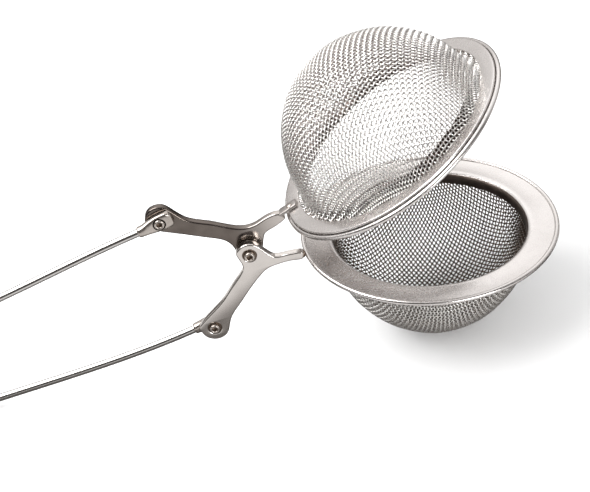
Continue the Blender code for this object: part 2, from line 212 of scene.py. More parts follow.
MESH_STEEL = {
    UPPER: steel("upper_woven_wire", (0.97, 0.955, 0.94), (0.90, 0.875, 0.85), (0.2, 0.34), 2500.0,
                 inner_shade=(0.38, 0.305, 0.26)),
    LOWER: steel("lower_woven_wire", (0.96, 0.945, 0.925), (0.86, 0.83, 0.80), (0.2, 0.34), 2500.0,
                 inner_shade=(0.15, 0.115, 0.09))}
RIM_STEEL = steel("rolled_rim", (0.87, 0.835, 0.815), (0.76, 0.72, 0.70), (0.22, 0.3), 500.0,
                  speckle=400.0, bump=0.0000008, cloud_size=70.0)
# Painted shade: the turned-in collar inside each rim is coloured near-black brown for the shade
# inside the rim.
COLLAR_SHADE_STEEL = steel("collar_painted_shade", (0.20, 0.165, 0.145), (0.09, 0.07, 0.06), (0.3, 0.45),
                     900.0)
LEVER_STEEL = steel("pressed_lever", (0.77, 0.725, 0.69), (0.69, 0.645, 0.61), (0.14, 0.22), 900.0,
                    grain=(1, 1, 5), bump=0.0000012)
RIVET_STEEL = steel("rivet", (0.62, 0.565, 0.52), (0.5, 0.45, 0.41), (0.2, 0.35), 1500.0,
                    bump=0.0000015)
WIRE_STEEL = steel("drawn_wire", (0.76, 0.74, 0.72), (0.68, 0.66, 0.64), (0.1, 0.2), 600.0,
                   grain=(0.05, 1, 1))
# Painted reflection: the upper lever is coloured dark brown-grey for the dark surroundings it
# mirrors, fading to a lighter tone towards its jaw arm.
LEVER_REFLECTION_STEEL = steel("lever_painted_reflection", (0.21, 0.18, 0.16), (0.12, 0.10, 0.088), (0.14, 0.22),
                         900.0, grain=(1, 1, 5), bump=0.0000012,
                         fade=((0.60, 0.555, 0.52), -0.002, 0.011))
FOOT_STEEL = steel("folded_foot", (0.5, 0.47, 0.45), (0.32, 0.29, 0.27), (0.3, 0.45), 900.0)
# Painted shade: dark brown for the shadow in the ring around each rivet's lip and inside its bore.
CREVICE_SHADE_STEEL = steel("rivet_crevice_shade", (0.30, 0.235, 0.19), (0.16, 0.125, 0.10), (0.4, 0.6),
                      1500.0)
TINTED_STEEL = steel("welded_tip", (0.42, 0.34, 0.28), (0.3, 0.24, 0.2), (0.35, 0.55), 1200.0)


# ---------------------------------------------------------------- mesh helpers

def make(name, verts, faces, material, body, matrix=TOOL, sharp=40):
    mesh = bpy.data.meshes.new(name)
    mesh.from_pydata([tuple(v) for v in verts], [], faces)
    mesh.validate()
    mesh.shade_smooth()
    if sharp:
        mesh.set_sharp_from_angle(angle=radians(sharp))
    mesh.materials.append(material)
    item = bpy.data.objects.new(name, mesh)
    bpy.context.scene.collection.objects.link(item)
    if body:
        settle(item, matrix, body)
    return item


def settle(item, matrix, body):
    """Keep the piece's own coordinates for its material, then place its mesh in the world."""
    mesh = item.data
    own = np.empty(3 * len(mesh.vertices), np.float32)
    mesh.vertices.foreach_get("co", own)
    mesh.attributes.new("own", "FLOAT_VECTOR", "POINT").data.foreach_set("vector", own)
    mesh.transform(matrix)
    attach(item, body)


def lathe(profile, steps, closed=True):
    """Turn (radius, height) points about Z. A point on the axis becomes one vertex."""
    verts, rings = [], []
    for radius, height in profile:
        if radius < 1e-9:
            rings.append([len(verts)] * steps)
            verts.append((0, 0, height))
            continue
        rings.append(list(range(len(verts), len(verts) + steps)))
        for i in range(steps):
            turn = 2 * pi * i / steps
            verts.append((radius * cos(turn), radius * sin(turn), height))
    faces = []
    pairs = list(zip(rings, rings[1:] + rings[:1])) if closed else list(zip(rings, rings[1:]))
    for one, two in pairs:
        for i in range(steps):
            k = (i + 1) % steps
            corners = (one[i], one[k], two[k], two[i])
            unique = tuple(dict.fromkeys(corners))
            if len(unique) > 2:
                faces.append(unique)
    return verts, faces


def arc(centre, radius, start, end, count):
    step = (end - start) / (count - 1)
    turns = [start + step * i for i in range(count)]
    return [(centre[0] + radius * cos(turn), centre[1] + radius * sin(turn)) for turn in turns]


def tubes(paths, radius, sides):
    """Tubes along (points, normals) paths, closed at both ends. The first vertex of each ring lies
    towards the path's normal."""
    verts, faces = [], []
    turns = np.linspace(0, 2 * pi, sides, endpoint=False)
    base = 0
    for points, normals in paths:
        count = len(points)
        along = np.gradient(points, axis=0)
        along /= np.linalg.norm(along, axis=1)[:, None]
        across = np.cross(along, normals)
        across /= np.linalg.norm(across, axis=1)[:, None]
        up = np.cross(across, along)
        size = np.broadcast_to(np.asarray(radius, float), (count,))
        ring = (points[:, None, :]
                + size[:, None, None] * (np.cos(turns)[None, :, None] * up[:, None, :]
                                         + np.sin(turns)[None, :, None] * across[:, None, :]))
        verts.append(ring.reshape(-1, 3))
        start = base + np.arange(count - 1)[:, None] * sides
        k = np.arange(sides)[None, :]
        n = (k + 1) % sides
        quads = np.stack([start + k, start + n, start + sides + n, start + sides + k], axis=2)
        faces += quads.reshape(-1, 4).tolist()
        faces.append(list(range(base, base + sides))[::-1])
        last = base + (count - 1) * sides
        faces.append(list(range(last, last + sides)))
        base += count * sides
    return np.concatenate(verts), faces


def jaw_matrix(side):
    swing = Matrix.Rotation(-side * HALF_OPENING, 4, "Y")
    place = Matrix.Translation((RIM_CENTRE_X, RIM_CENTRE_Y, 0))
    turn = Matrix.Rotation(0 if side == UPPER else pi, 4, "X")
    return TOOL @ swing @ place @ turn


def half(side):
    return "upper_half" if side == UPPER else "lower_half"


def label(side):
    return "upper" if side == UPPER else "lower"


# ---------------------------------------------------------------- woven bowls

def bowl_profile(bowl_radius):
    """Fine table of the mesh's middle surface: arc length from the apex, radius and height."""
    flare, slant, crease = 2.2 * MM, 0.55 * MM, 0.5 * MM
    base = BRIM_Z + flare * sin(pi / 4) + slant + crease * (1 - cos(pi / 4))
    first = asin((base - BOWL_CENTRE_Z) / BOWL_DEPTH)
    rise = np.linspace(pi / 2, first, 900)
    radius = bowl_radius * np.cos(rise)
    height = BOWL_CENTRE_Z + BOWL_DEPTH * np.sin(rise)
    turn = np.linspace(0, pi / 4, 80)[1:]
    radius = np.append(radius, radius[-1] + flare * (1 - np.cos(turn)))
    height = np.append(height, base - flare * np.sin(turn))
    along = np.linspace(0, slant, 20)[1:]
    radius, height = np.append(radius, radius[-1] + along), np.append(height, height[-1] - along)
    bend = (radius[-1] + crease * sin(pi / 4), BRIM_Z + crease)
    turn = np.linspace(pi / 4, pi / 2, 30)[1:]
    radius = np.append(radius, bend[0] - crease * np.cos(turn))
    height = np.append(height, bend[1] - crease * np.sin(turn))
    flat = np.linspace(0, 8 * MM, 60)[1:]
    radius, height = np.append(radius, radius[-1] + flat), np.append(height, np.full(59, BRIM_Z))
    step = np.hypot(np.diff(radius), np.diff(height))
    return np.append(0, np.cumsum(step)), radius, height


def weave_net(table):
    """Crossings of one quarter of a square weave drawn over the bowl: each is one pitch from its
    two neighbours along the surface, as a stiff cloth settles on a form."""
    length, radius, height = table
    limit = length[-1] - PITCH

    def point(s, turn):
        r = np.interp(s, length, radius)
        return np.array((r * cos(turn), r * sin(turn), np.interp(s, length, height)))

    net = {}
    count = int(limit / PITCH)
    for i in range(count + 1):
        net[i, 0] = (i * PITCH, 0.0)
        net[0, i] = (i * PITCH, pi / 2)
    for i in range(1, count + 1):
        for j in range(1, count + 1):
            if (i - 1, j) not in net or (i, j - 1) not in net:
                continue
            one, two, back = (point(*net[key]) for key in ((i - 1, j), (i, j - 1), (i - 1, j - 1)))
            guess = one + two - back
            s = max(net[i - 1, j][0], net[i, j - 1][0]) + 0.4 * PITCH
            turn = atan2(guess[1], guess[0])
            for _ in range(12):
                here = point(s, turn)
                miss = np.array((np.linalg.norm(here - one), np.linalg.norm(here - two))) - PITCH
                ds, dt = 1e-6, 1e-5
                by_s = (point(s + ds, turn) - here) / ds
                by_t = (point(s, turn + dt) - here) / dt
                to_one = (here - one) / np.linalg.norm(here - one)
                to_two = (here - two) / np.linalg.norm(here - two)
                slope = np.array(((to_one @ by_s, to_one @ by_t), (to_two @ by_s, to_two @ by_t)))
                if abs(np.linalg.det(slope)) < 1e-9:
                    break
                change = np.linalg.solve(slope, miss)
                s -= float(np.clip(change[0], -PITCH / 2, PITCH / 2))
                turn -= float(np.clip(change[1], -0.2, 0.2))
            if s < limit and np.abs(miss).max() < 0.05 * PITCH:
                net[i, j] = (s, turn)
    return net


def surface_normal(table, s, turn):
    length, radius, height = table
    step = 0.05 * MM
    dr = np.interp(s + step, length, radius) - np.interp(s - step, length, radius)
    dz = np.interp(s + step, length, height) - np.interp(s - step, length, height)
    size = np.hypot(dr, dz)
    return np.stack([-dz / size * np.cos(turn), -dz / size * np.sin(turn), dr / size], axis=-1)


def dents(points, side):
    """Slight hand-worn unevenness of the dome, in metres along the normal."""
    x, y, z = points.T / MM
    wave = np.sin(0.21 * x + 0.13 * y + side) * np.sin(0.17 * y - 0.11 * z + 2 * side)
    wave += 0.6 * np.sin(0.33 * x - 0.29 * y + 1.3) * np.sin(0.27 * z + 0.6)
    inner = np.clip((z - 4.5) / 6, 0, 1)
    return DENT * wave * inner


def wire_run(table, net, i, across):
    """Crossings along wire i of one direction: their numbers, arc lengths and plan x and y."""
    length, radius, _ = table
    count = max(key[0] for key in net)
    run = []
    for j in range(-count, count + 1):
        a, b = (j, i) if across else (i, j)
        if (abs(a), abs(b)) not in net:
            continue
        s, turn = net[abs(a), abs(b)]
        r = np.interp(s, length, radius)
        run.append((j, s, r * cos(turn) * (1 if a >= 0 else -1),
                    r * sin(turn) * (1 if b >= 0 else -1)))
    return np.array(run).T if len(run) >= 4 else None


def woven_paths(table, net, side, across):
    """Centre lines of all wires of one direction. across swaps warp and weft."""
    length, radius, height = table
    count = max(key[0] for key in net)
    end_s = np.interp(RIM_RADIUS - 3 * BEAD_RADIUS, radius[500:], length[500:])
    paths = []
    for i in range(-count, count + 1):
        run = wire_run(table, net, i, across)
        if run is None:
            continue
        js, ss, xs, ys = run
        fine = np.arange(js[0], js[-1] + 1e-9, 0.25)
        xs, ys = catmull(js, xs, fine), catmull(js, ys, fine)
        sf = np.clip(catmull(js, ss, fine), 0, length[-1])
        if i:
            near_apex = np.interp(np.hypot(xs, ys), radius[:900], length[:900])
            sf = np.where(sf < 2 * PITCH, near_apex, sf)
        else:
            sf = np.abs(fine) * PITCH
        turn = np.arctan2(ys, xs)
        rs = np.interp(sf, length, radius)
        points = np.stack([rs * np.cos(turn), rs * np.sin(turn), np.interp(sf, length, height)], 1)
        normals = surface_normal(table, np.maximum(sf, 0.06 * MM), turn)
        normals *= -1 if normals[len(normals) // 2] @ points[len(points) // 2] < 0 else 1
        keep = sf <= end_s
        if keep.sum() < 8:
            continue
        sign = 1 if across else -1
        lift = sign * WIRE * np.cos(pi * (fine + i))
        points = points + normals * (lift + dents(points, side))[:, None]
        points = points + RNG.normal(0, WOBBLE, 3)
        paths.append((points[keep], normals[keep]))
    return paths


def catmull(knots, values, at):
    """Smooth interpolation through evenly spaced knots."""
    low = np.clip(np.floor(at).astype(int) - int(knots[0]), 0, len(knots) - 2)
    t = at - (low + knots[0])
    padded = np.concatenate([[2 * values[0] - values[1]], values, [2 * values[-1] - values[-2]]])
    a, b, c, d = (padded[low + k] for k in range(4))
    return 0.5 * (2 * b + (c - a) * t + (2 * a - 5 * b + 4 * c - d) * t ** 2
                  + (3 * b - a - 3 * c + d) * t ** 3)


def woven_bowl(side):
    table = bowl_profile(BOWL_RADIUS[side])
    net = weave_net(table)
    turn = Matrix.Rotation(WEAVE_TURN[side], 4, "Z")
    inward_ring = (1 - np.cos(np.linspace(0, 2 * pi, WIRE_SIDES, endpoint=False))) / 2
    for name, across in (("warp", False), ("weft", True)):
        paths = woven_paths(table, net, side, across)
        middle = len(paths) // 2
        for share, some in (("a", paths[:middle]), ("b", paths[middle:])):
            verts, faces = tubes(some, WIRE, WIRE_SIDES)
            piece = make(f"{label(side)}_mesh_{name}_{share}", verts, faces, MESH_STEEL[side],
                         half(side), jaw_matrix(side) @ turn, sharp=0)
            # inward runs from 0 to 1 around each wire and places the painted shade on the side
            # facing into the bowl.
            inward = np.tile(inward_ring, len(verts) // WIRE_SIDES).astype(np.float32)
            piece.data.attributes.new("inward", "FLOAT", "POINT").data.foreach_set("value", inward)
            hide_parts(f"{label(side)}_bowl")


# ---------------------------------------------------------------- rims

def rim_face(side):
    """Mating ring: rolled bead, a shallow step, a gently dished face and a turned-in collar."""
    bead = (RIM_RADIUS - BEAD_RADIUS, BEAD_CENTRE_Z)
    front, back = FACE_Z, FACE_Z + SHEET
    outer = BOWL_RADIUS[side] - WIRE * 2 - 0.1 * MM
    inner = outer - SHEET
    bend = (outer + COLLAR_FILLET, back + COLLAR_FILLET)
    meet_back = asin((back - BEAD_CENTRE_Z) / BEAD_RADIUS)
    meet_front = asin((front - BEAD_CENTRE_Z) / BEAD_RADIUS)
    profile = arc(bead, BEAD_RADIUS, pi - meet_back, -pi - meet_front, 40)
    ends = profile[-1][0], bend[0]
    for i in range(1, 8):
        share = i / 8
        radius = ends[0] + (ends[1] - ends[0]) * share
        profile.append((radius, front + FACE_DISH * sin(pi * share)))
    profile += arc(bend, COLLAR_FILLET + SHEET, -pi / 2, -pi, 10)
    profile += arc((inner + SHEET / 2, back + COLLAR_DEPTH), SHEET / 2, pi, 0, 6)
    profile += arc(bend, COLLAR_FILLET, -pi, -pi / 2, 10)
    verts, faces = lathe(profile, RIM_STEPS)
    piece = make(f"{label(side)}_rim_mating_ring", verts, faces, RIM_STEEL, half(side),
                 jaw_matrix(side))
    # Painted shade: the collar's inner wall takes the near-black collar material.
    piece.data.materials.append(COLLAR_SHADE_STEEL)
    for polygon in piece.data.polygons:
        corner = verts[polygon.vertices[0]]
        reach = hypot(corner[0], corner[1])
        polygon.material_index = int(reach < bend[0] - 0.5 * MM and corner[2] > front + 0.35 * MM)
    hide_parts(f"{label(side)}_rim_face")


def rim_back(side):
    """The clamping ring, with a rounded inner edge turned slightly up."""
    inner = BOWL_RADIUS[side] + BOWL_FILLET + 0.1 * MM
    outer = RIM_RADIUS - 2 * BEAD_RADIUS + 0.22 * MM
    low, high = BACK_Z, BACK_Z + SHEET
    shoulder = 0.3 * MM
    profile = arc((outer - shoulder, high - shoulder), shoulder, 0, pi / 2, 7)
    profile += [(outer - 1.0 * MM, high + HAIR), ((outer + inner) / 2, high + 3 * HAIR)]
    inner_edge = (inner + SHEET / 2, high - SHEET / 2 + 0.05 * MM)
    profile += arc(inner_edge, SHEET / 2, pi / 2, 1.5 * pi, 9)
    profile += [(inner + 1.0 * MM, low + HAIR), (outer, low - 0.1 * MM)]
    verts, faces = lathe(profile, RIM_STEPS)
    piece = make(f"{label(side)}_rim_clamp_ring", verts, faces, RIM_STEEL, half(side),
                 jaw_matrix(side))
    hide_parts(f"{label(side)}_rim_back")


# ---------------------------------------------------------------- levers

def eye_place(side):
    angle = ARM_ANGLE[side]
    return Vector((-LEVER_ARM * cos(angle), 0, side * LEVER_ARM * sin(angle)))


def smooth_closed(knots, per_knot=8):
    points = []
    count = len(knots)
    for i in range(count):
        before, start, end, after = (Vector(knots[(i + k) % count]) for k in (-1, 0, 1, 2))
        first = start + (end - before) / 6
        second = end - (after - start) / 6
        points += interpolate_bezier(start, first, second, end, per_knot + 1)[:-1]
    return [(point.x, point.y) for point in points]


def jaw_to_tool(x, z):
    return (x * cos(HALF_OPENING) - z * sin(HALF_OPENING),
            x * sin(HALF_OPENING) + z * cos(HALF_OPENING))


def lever_knots(side):
    """Outline of a lever in the tool frame: eye, neck, head over the main rivet and jaw arm."""
    eye = eye_place(side)
    outward = atan2(side * eye.z, eye.x)
    round_eye = arc((eye.x, side * eye.z), EYE_RADIUS,
                    outward - radians(95), outward + radians(80), 6)
    head = arc((0, 0), HEAD_RADIUS, radians(205), radians(330), 5)
    if side == LOWER:
        tip_x = RIM_CENTRE_X - RIM_RADIUS + 0.15 * MM
        tip = [jaw_to_tool(tip_x, 0.35 * MM), jaw_to_tool(tip_x, 2.35 * MM)]
        inner = [(-11.9, 10.6), (-7.7, 7.2), (-4.1, 4.3), (-2.8, 2.4)]
        after_head = [(4.9, 1.9), (6.3, 2.9), (9.2, 3.3)]
        outer = [(8.4, 5.4), (5.4, 5.2), (2.2, 5.6), (-2.0, 8.2), (-6.9, 12.1), (-11.0, 15.5)]
    else:
        tip = [jaw_to_tool(x * MM, z * MM)
               for x, z in ((12.2, 1.35), (12.5, 2.4), (12.2, 3.4))]
        inner = [(-12.4, 9.8), (-8.8, 7.5), (-5.0, 5.0), (-3.5, 2.5)]
        after_head = [(4.6, 1.8), (5.8, 3.0), (8.6, 3.75)]
        outer = [(9.2, 7.15), (6.9, 6.9), (3.9, 6.1), (1.3, 6.2), (-1.4, 7.4), (-5.6, 10.4),
                 (-10.8, 13.9)]
    in_metres = [[(x * MM, z * MM) for x, z in knots] for knots in (inner, after_head, outer)]
    ring = round_eye + in_metres[0] + head + in_metres[1] + tip + in_metres[2]
    return [(x, side * z) for x, z in ring]


def sheet_piece(name, outline, holes, y_span, edge, material, body):
    """A flat stamped piece in the tool frame's XZ plane, with rounded edges and round holes."""
    shape = bpy.data.curves.new(name, "CURVE")
    shape.dimensions = "2D"
    shape.fill_mode = "BOTH"
    shape.extrude = (y_span[1] - y_span[0]) / 2 - edge
    shape.bevel_depth = edge
    shape.bevel_resolution = 4
    shape.offset = -edge
    rings = [outline]
    for (x, z), radius in holes:
        turns = [2 * pi * i / 48 for i in range(48)]
        rings.append([(x + radius * cos(turn), z + radius * sin(turn)) for turn in turns])
    for ring in rings:
        spline = shape.splines.new("POLY")
        spline.points.add(len(ring) - 1)
        for target, (x, z) in zip(spline.points, ring):
            target.co = (x, z, 0, 1)
        spline.use_cyclic_u = True
    item = bpy.data.objects.new(name + "_curve", shape)
    bpy.context.scene.collection.objects.link(item)
    middle = Matrix.Translation((0, (y_span[0] + y_span[1]) / 2, 0))
    stand = middle @ Matrix.Rotation(pi / 2, 4, "X")
    bpy.context.view_layer.update()
    graph = bpy.context.evaluated_depsgraph_get()
    mesh = bpy.data.meshes.new_from_object(item.evaluated_get(graph))
    bpy.data.objects.remove(item)
    mesh.name = name
    work = bmesh.new()
    work.from_mesh(mesh)
    bmesh.ops.remove_doubles(work, verts=work.verts, dist=0.000002)
    bmesh.ops.recalc_face_normals(work, faces=work.faces)
    work.to_mesh(mesh)
    work.free()
    mesh.transform(stand)
    mesh.materials.clear()
    mesh.materials.append(material)
    mesh.shade_smooth()
    mesh.set_sharp_from_angle(angle=radians(30))
    piece = bpy.data.objects.new(name, mesh)
    bpy.context.scene.collection.objects.link(piece)
    settle(piece, TOOL, body)
    return piece


def lever_span(side):
    return (-LEVER_SHEET, 0.0) if side == LOWER else (LEVER_GAP, LEVER_GAP + LEVER_SHEET)


def lever(side):
    eye = eye_place(side)
    holes = [((0, 0), RECESS), ((eye.x, eye.z), RECESS)]
    # The upper lever takes the painted dark reflection; the lower lever keeps the plain lever
    # steel.
    material = LEVER_STEEL if side == LOWER else LEVER_REFLECTION_STEEL
    piece = sheet_piece(f"{label(side)}_pressed_lever", smooth_closed(lever_knots(side)), holes,
                        lever_span(side), LEVER_EDGE, material, half(side))
    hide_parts(f"{label(side)}_lever")


def foot():
    """The upper lever's foot, folded flat onto the rim's back, and its spot."""
    length, width, sheet = 5.1 * MM, 2.8 * MM, 0.8 * MM
    low = BACK_Z + SHEET + 0.05 * MM
    near_x = 12.0 * MM - RIM_CENTRE_X
    y_mid = LEVER_GAP + LEVER_SHEET / 2 - RIM_CENTRE_Y
    work = bmesh.new()
    bmesh.ops.create_cube(work, size=1)
    bmesh.ops.scale(work, vec=(length, width, sheet), verts=work.verts)
    bmesh.ops.translate(work, vec=(near_x + length / 2, y_mid, low + sheet / 2), verts=work.verts)
    bmesh.ops.bevel(work, geom=work.edges[:], offset=FOOT_EDGE, segments=4, profile=0.5,
                    affect="EDGES")
    mesh = bpy.data.meshes.new("foot")
    work.to_mesh(mesh)
    work.free()
    verts = [v.co.copy() for v in mesh.vertices]
    faces = [tuple(face.vertices) for face in mesh.polygons]
    make("upper_lever_foot", verts, faces, FOOT_STEEL, "upper_half",
         jaw_matrix(UPPER))
    radius, height = 0.85 * MM, 0.4 * MM
    profile = [(0.0, height)]
    profile += [(radius * cos(turn), height * sin(turn))
                for turn in (1.3, 1.1, 0.9, 0.7, 0.5, 0.3, 0.1)]
    profile += [(radius, -0.1 * MM)]
    verts, faces = lathe(profile, 32, closed=False)
    spot_x, spot_y = near_x + 0.62 * length, y_mid - 0.4 * MM
    verts = [(x + spot_x, y + spot_y, z + low + sheet) for x, y, z in verts]
    spot = make("upper_lever_foot_spot", verts, faces, RIVET_STEEL, "upper_half",
                jaw_matrix(UPPER))
    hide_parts("foot_rivet")


def weld():
    """The brownish bead that joins the lower lever's tip to the rim's edge."""
    side = LOWER
    verts, faces = [], []
    rows, cols = 10, 16
    deep, wide, high = 0.55 * MM, 1.15 * MM, 0.95 * MM
    for i in range(rows + 1):
        angle = pi * i / rows
        for k in range(cols):
            turn = 2 * pi * k / cols
            size = 1 + 0.12 * sin(3 * turn + 1) * sin(2 * angle)
            verts.append((deep * cos(angle) * size, wide * sin(angle) * cos(turn) * size,
                          high * sin(angle) * sin(turn) * size))
    for i in range(rows):
        for k in range(cols):
            n = (k + 1) % cols
            faces.append((i * cols + k, i * cols + n, (i + 1) * cols + n, (i + 1) * cols + k))
    x, z = jaw_to_tool(RIM_CENTRE_X - RIM_RADIUS + 0.35 * MM, 1.4 * MM)
    centre = Vector((x, -LEVER_SHEET / 2 + 0.1 * MM, side * z))
    swing = Matrix.Rotation(-side * HALF_OPENING, 4, "Y")
    make("lower_lever_weld", verts, faces, TINTED_STEEL, half(side),
         TOOL @ Matrix.Translation(centre) @ swing)


# ---------------------------------------------------------------- rivets

def rivet(name, place, front, back, lip_mid, rise, body, replaced, shank=RECESS - 0.02 * MM):
    """A tubular rivet along local Z, which points to the front: a recess in the sheet's hole,
    a rolled lip that stands out of it, and a low head behind. The recess around the lip and the
    bore are painted dark brown as shade."""
    face = -front
    over = -back - 0.03 * MM
    lip = 0.34 * MM
    top = face + rise
    head_z = over - 0.08 * MM
    profile = [(0.0, top - 1.15 * MM), (lip_mid - lip - 0.03 * MM, top - 1.0 * MM)]
    profile += arc((lip_mid, top - lip), lip, pi, 0, 14)
    profile += [(lip_mid + lip - 0.06 * MM, face - 0.25 * MM), (lip_mid + lip, face - 0.4 * MM)]
    profile += [(shank, face - 0.42 * MM), (shank, over)]
    profile += [(RIVET_HEAD - 0.05 * MM, over), (RIVET_HEAD, head_z)]
    profile += [(RIVET_HEAD * cos(turn), head_z - 0.5 * MM * sin(turn))
                for turn in (0.25, 0.5, 0.75, 1.0, 1.25, 1.45)]
    profile += [(0.0, head_z - 0.5 * MM)]
    verts, faces = lathe(profile, 64, closed=False)
    faces = [face_verts[::-1] for face_verts in faces]
    matrix = TOOL @ Matrix.Translation(place) @ Matrix.Rotation(pi / 2, 4, "X")
    piece = make(name, verts, faces, RIVET_STEEL, body, matrix)
    # Painted shade: the recess around the lip and the inside of the bore take the dark crevice
    # material.
    piece.data.materials.append(CREVICE_SHADE_STEEL)
    for polygon in piece.data.polygons:
        corners = [Vector(verts[i]) for i in polygon.vertices]
        middle = sum(corners, Vector()) / len(corners)
        reach = hypot(middle.x, middle.y)
        around_lip = face - 0.9 * MM < middle.z < face - 0.1 * MM and reach > lip_mid
        in_bore = over < middle.z < top - 0.9 * MM and reach < lip_mid
        polygon.material_index = int(around_lip or in_bore)
    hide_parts(replaced)


def washer():
    inner, outer = MAIN_SHANK + 0.08 * MM, 3.0 * MM
    near, far = -0.06 * MM, -LEVER_GAP + 0.06 * MM
    edge = 0.15 * MM
    profile = [(inner, near), (outer - edge, near), (outer, near - edge), (outer, far + edge),
               (outer - edge, far), (inner, far)]
    verts, faces = lathe(profile, 64)
    matrix = TOOL @ Matrix.Rotation(pi / 2, 4, "X")
    piece = make("pivot_spacer", verts, faces, RIVET_STEEL, "lower_half", matrix)
    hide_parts("pivot_washer")


# ---------------------------------------------------------------- ferrules and handle wire

def ferrule_span(side):
    if side == LOWER:
        return (FERRULE_GAP, FERRULE_GAP + FERRULE_THICKNESS)
    return (LEVER_GAP - FERRULE_GAP - FERRULE_THICKNESS, LEVER_GAP - FERRULE_GAP)


def leg_direction(side):
    slope = LEG_SLOPE[side]
    return Vector((-cos(slope), 0, -side * sin(slope)))


FERRULE_STATIONS = (
    # along from the rivet, half height, y on the lever's side, y on the free side (in mm from the
    # lever), squareness
    (-3.30, 1.30, 0.00, 1.35, 5), (-3.22, 1.62, 0.00, 1.62, 5), (-2.95, 1.92, 0.00, 1.78, 5),
    (-2.2, 2.12, 0.00, 1.85, 5), (-1.0, 2.18, 0.00, 1.9, 5), (0.6, 2.1, 0.00, 1.95, 4.5),
    (2.0, 1.86, 0.02, 2.1, 4), (3.2, 1.6, 0.06, 2.35, 3.4), (4.2, 1.42, 0.08, 2.6, 2.8),
    (5.0, 1.36, 0.08, 2.65, 2.5), (5.5, 1.34, 0.08, 2.65, 2.4), (5.66, 1.26, 0.16, 2.55, 2.3),
    (5.7, 1.15, 0.28, 2.45, 2.2))


def ferrule_skin(side, count):
    """Rings of count points: the flattened outside, then the bore that the wire sits in."""
    front, back = ferrule_span(side)
    lever_side, outward = (back, -1) if side == UPPER else (front, 1)
    along = leg_direction(side)
    up = Vector((along.z, 0, -along.x))
    eye = eye_place(side)
    turns = [2 * pi * k / count for k in range(count)]
    rings = []
    for a, high, near, far, square in FERRULE_STATIONS:
        mid_y = lever_side + outward * (near + far) / 2 * MM
        wide = (far - near) / 2 * MM
        ring = []
        for turn in turns:
            c, s = cos(turn), sin(turn)
            size = (abs(c) ** square + abs(s) ** square) ** (-1 / square)
            ring.append(eye + along * (a * MM) + up * (high * MM * s * size)
                        + Vector((0, mid_y + wide * c * size, 0)))
        rings.append(ring)
    bore = HANDLE_WIRE + 0.04 * MM
    for a, radius in ((5.66, bore + 0.06 * MM), (5.4, bore), (4.0, bore)):
        rings.append([eye + along * (a * MM) + up * (radius * sin(turn))
                      + Vector((0, (front + back) / 2 + radius * cos(turn), 0)) for turn in turns])
    return rings


def ferrule(side):
    """A tube end crimped on the wire, flattened and spread towards its rivet."""
    count = 40
    rings = ferrule_skin(side, count)
    verts = [point for ring in rings for point in ring]
    faces = [tuple(range(count))[::-1]]
    for start in range(0, len(verts) - count, count):
        for k in range(count):
            n = (k + 1) % count
            faces.append((start + k, start + n, start + count + n, start + count + k))
    faces.append(tuple(range(len(verts) - count, len(verts))))
    item = make(f"{label(side)}_crimped_ferrule", verts, faces, RIVET_STEEL, None)
    clear = 0.45 * MM if side == UPPER else 0.08 * MM
    front, back = ferrule_span(side)
    drill(item, eye_place(side) + Vector((0, (front + back) / 2, 0)), HANDLE_SHANK + clear)
    settle(item, TOOL, f"{label(side)}_leg")
    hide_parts(f"{label(side)}_ferrule")


def drill(item, centre, radius):
    """Cut a round hole along Y right through the piece."""
    reach = 3 * MM
    verts, faces = lathe([(0.0, reach), (radius, reach), (radius, -reach), (0.0, -reach)], 48,
                         closed=False)
    cut = bpy.data.meshes.new("cut")
    cut.from_pydata(verts, [], faces)
    cutter = bpy.data.objects.new("cut", cut)
    bpy.context.scene.collection.objects.link(cutter)
    cutter.matrix_world = Matrix.Translation(centre) @ Matrix.Rotation(pi / 2, 4, "X")
    fix_normals(item)
    fix_normals(cutter)
    change = item.modifiers.new("hole", "BOOLEAN")
    change.operation = "DIFFERENCE"
    change.solver = "EXACT"
    change.object = cutter
    apply_modifiers(item)
    bpy.data.objects.remove(cutter)


def fix_normals(item):
    work = bmesh.new()
    work.from_mesh(item.data)
    bmesh.ops.recalc_face_normals(work, faces=work.faces)
    work.to_mesh(item.data)
    work.free()


def apply_modifiers(item):
    bpy.context.view_layer.update()
    graph = bpy.context.evaluated_depsgraph_get()
    mesh = bpy.data.meshes.new_from_object(item.evaluated_get(graph))
    item.modifiers.clear()
    old = item.data
    name = old.name
    item.data = mesh
    bpy.data.meshes.remove(old)
    mesh.name = name
    mesh.shade_smooth()
    mesh.set_sharp_from_angle(angle=radians(35))


def leg_points(side):
    front, back = ferrule_span(side)
    along = leg_direction(side)
    centre = eye_place(side) + Vector((0, (front + back) / 2, 0))
    start = centre + along * (WIRE_SEAT + 1.5 * MM)
    mouth = centre + along * (FERRULE_BACK + 0.3 * MM)
    bend_start = BEND + Vector((0, 0, side * BEND_RADIUS))
    reach = (bend_start - mouth).length / 3
    straight = interpolate_bezier(mouth, mouth + along * reach,
                                  bend_start + Vector((reach, 0, 0)), bend_start, 60)
    turns = arc((BEND.x, BEND.z), BEND_RADIUS, side * pi / 2, side * pi, 40)
    return [start] + list(straight) + [Vector((x, WIRE_Y, z)) for x, z in turns[1:]]


def handle_wire():
    """One sprung wire from ferrule to ferrule, in one piece through its bend."""
    upper, lower = leg_points(UPPER), leg_points(LOWER)
    points = np.array(upper + lower[::-1][1:])
    normals = np.tile(np.array((0.0, 1.0, 0.0)), (len(points), 1))
    verts, faces = tubes([(points, normals)], HANDLE_WIRE, 32)
    piece = make("handle_spring_wire", verts, faces, WIRE_STEEL, None, sharp=60)
    own = np.asarray(verts, np.float32).ravel()
    piece.data.attributes.new("own", "FLOAT_VECTOR", "POINT").data.foreach_set("vector", own)
    piece.data.transform(TOOL)
    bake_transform(piece)
    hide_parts("handle_wire_lower_leg", "handle_wire_upper_leg")


# ---------------------------------------------------------------- floor, light, camera

